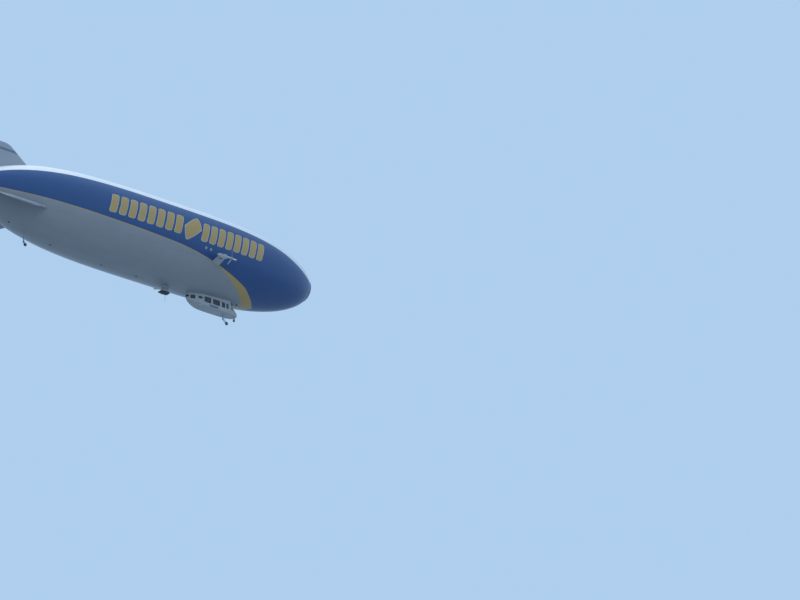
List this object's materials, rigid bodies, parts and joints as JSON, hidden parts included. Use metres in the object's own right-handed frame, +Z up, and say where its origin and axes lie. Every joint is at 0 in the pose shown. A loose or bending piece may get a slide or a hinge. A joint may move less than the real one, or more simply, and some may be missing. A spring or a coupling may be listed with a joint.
{
  "type": "advertising airship, a scale model at 1:2",
  "caption": "Semi-rigid advertising airship, half-size scale model, with cabin gondola, tilting side and stern propellers, tail fins with rudders and caster landing gear.",
  "frame": {"origin": "on the envelope's axis near its centre of lift, where the air holds it up", "axes": "+X forward to the nose, +Y to port, +Z up"},
  "size_m": [37.646, 9.4858, 9.64],
  "materials": {
    "envelope_fabric": "coated laminate, silver-white top and belly with a blue side band and a yellow edge line",
    "nose_paint": "satin blue",
    "fin_fabric": "doped fabric over ribs",
    "white_shell": "satin white laminate",
    "steel": "satin",
    "engine_metal": "cast",
    "head_metal": "painted grey",
    "blade_composite": "satin pale grey composite",
    "window_glass": "tinted, clear",
    "seat_cloth": "woven upholstery",
    "console_plastic": "matte dark",
    "tyre_rubber": "matte"
  },
  "bodies": {
    "hull": {"envelope": "envelope_fabric", "nose_cap": "nose_paint", "mooring_spindle": "steel", "tail_cone": "white_shell", "fin_top": "fin_fabric", "fin_port": "fin_fabric", "fin_starboard": "fin_fabric", "pylon_port": "white_shell", "pylon_starboard": "white_shell", "nacelle_port": "white_shell", "nacelle_starboard": "white_shell", "engine_port": "engine_metal", "engine_starboard": "engine_metal", "engine_stern": "engine_metal", "thruster_mount": "white_shell", "gondola_floor": "white_shell", "gondola_roof": "white_shell", "gondola_nose": "white_shell", "gondola_tail": "white_shell", "gondola_wall_port": "white_shell", "gondola_wall_starboard": "white_shell", "windscreen": "window_glass", "glazing_port": "window_glass", "glazing_starboard": "window_glass", "glazing_rear": "window_glass", "seats_port": "seat_cloth", "seats_starboard": "seat_cloth", "pilot_seats": "seat_cloth", "console": "console_plastic", "front_leg": "steel", "rear_leg": "steel", "camera_post": "head_metal", "belly_scoop": "white_shell", "whip_antenna": "steel"},
    "rudder_top": {"rudder_top": "fin_fabric"},
    "rudder_port": {"rudder_port": "fin_fabric"},
    "rudder_starboard": {"rudder_starboard": "fin_fabric"},
    "head_port": {"tilt_head_port": "head_metal"},
    "head_starboard": {"tilt_head_starboard": "head_metal"},
    "head_stern": {"tilt_head_stern": "head_metal"},
    "screw_port": {"propeller_port": "blade_composite"},
    "screw_starboard": {"propeller_starboard": "blade_composite"},
    "screw_stern": {"propeller_stern": "blade_composite"},
    "screw_thruster": {"propeller_thruster": "blade_composite"},
    "cabin_door": {"door": "white_shell", "door_window": "window_glass"},
    "front_caster": {"front_fork": "steel"},
    "front_wheel": {"front_hub": "head_metal", "front_tyre": "tyre_rubber"},
    "rear_caster": {"rear_fork": "steel"},
    "rear_wheel": {"rear_hub": "head_metal", "rear_tyre": "tyre_rubber"},
    "camera_pan": {"camera_yoke": "head_metal"},
    "camera_ball": {"camera_ball": "console_plastic"}
  },
  "joints": [
    {"name": "rudder_top_swing", "type": "hinge", "parent": "hull", "child": "rudder_top", "pos_m": [-16.925, 0, 2], "axis": [0, 0, 1], "range_deg": [-25, 25]},
    {"name": "rudder_port_swing", "type": "hinge", "parent": "hull", "child": "rudder_port", "pos_m": [-16.925, 1.73205, -1], "axis": [0, 0.866, -0.5], "range_deg": [-25, 25]},
    {"name": "rudder_starboard_swing", "type": "hinge", "parent": "hull", "child": "rudder_starboard", "pos_m": [-16.925, -1.73205, -1], "axis": [0, -0.866, -0.5], "range_deg": [-25, 25]},
    {"name": "tilt_port", "type": "hinge", "parent": "hull", "child": "head_port", "pos_m": [4.025, 4.15, -1.525], "axis": [0, -1, 0], "range_deg": [0, 120]},
    {"name": "tilt_starboard", "type": "hinge", "parent": "hull", "child": "head_starboard", "pos_m": [4.025, -4.15, -1.525], "axis": [0, -1, 0], "range_deg": [0, 120]},
    {"name": "tilt_stern", "type": "hinge", "parent": "hull", "child": "head_stern", "pos_m": [-20.1, 0, 0], "axis": [0, -1, 0], "range_deg": [0, 90]},
    {"name": "spin_port", "type": "hinge", "parent": "head_port", "child": "screw_port", "pos_m": [4.735, 4.15, -1.525], "axis": [1, 0, 0], "continuous": true},
    {"name": "spin_starboard", "type": "hinge", "parent": "head_starboard", "child": "screw_starboard", "pos_m": [4.735, -4.15, -1.525], "axis": [1, 0, 0], "continuous": true},
    {"name": "spin_stern", "type": "hinge", "parent": "head_stern", "child": "screw_stern", "pos_m": [-20.65, 0, 0], "axis": [-1, 0, 0], "continuous": true},
    {"name": "spin_thruster", "type": "hinge", "parent": "hull", "child": "screw_thruster", "pos_m": [-19.3, 0.9, 0], "axis": [0, 1, 0], "continuous": true},
    {"name": "door_swing", "type": "hinge", "parent": "hull", "child": "cabin_door", "pos_m": [4.78, -0.595, -4], "axis": [0, 0, 1], "range_deg": [0, 100]},
    {"name": "front_swivel", "type": "hinge", "parent": "hull", "child": "front_caster", "pos_m": [7.35, 0, -4.81], "axis": [0, 0, 1], "continuous": true},
    {"name": "front_roll", "type": "hinge", "parent": "front_caster", "child": "front_wheel", "pos_m": [7.73, 0, -5.13], "axis": [0, 1, 0], "continuous": true},
    {"name": "rear_swivel", "type": "hinge", "parent": "hull", "child": "rear_caster", "pos_m": [-13.275, 0, -3.6], "axis": [0, 0, 1], "continuous": true},
    {"name": "rear_roll", "type": "hinge", "parent": "rear_caster", "child": "rear_wheel", "pos_m": [-13.1, 0, -3.83], "axis": [0, 1, 0], "continuous": true},
    {"name": "camera_turn", "type": "hinge", "parent": "hull", "child": "camera_pan", "pos_m": [8.525, 0, -4.56], "axis": [0, 0, 1], "continuous": true},
    {"name": "camera_nod", "type": "hinge", "parent": "camera_pan", "child": "camera_ball", "pos_m": [8.525, 0, -4.71], "axis": [0, 1, 0], "range_deg": [-30, 90]}
  ]
}
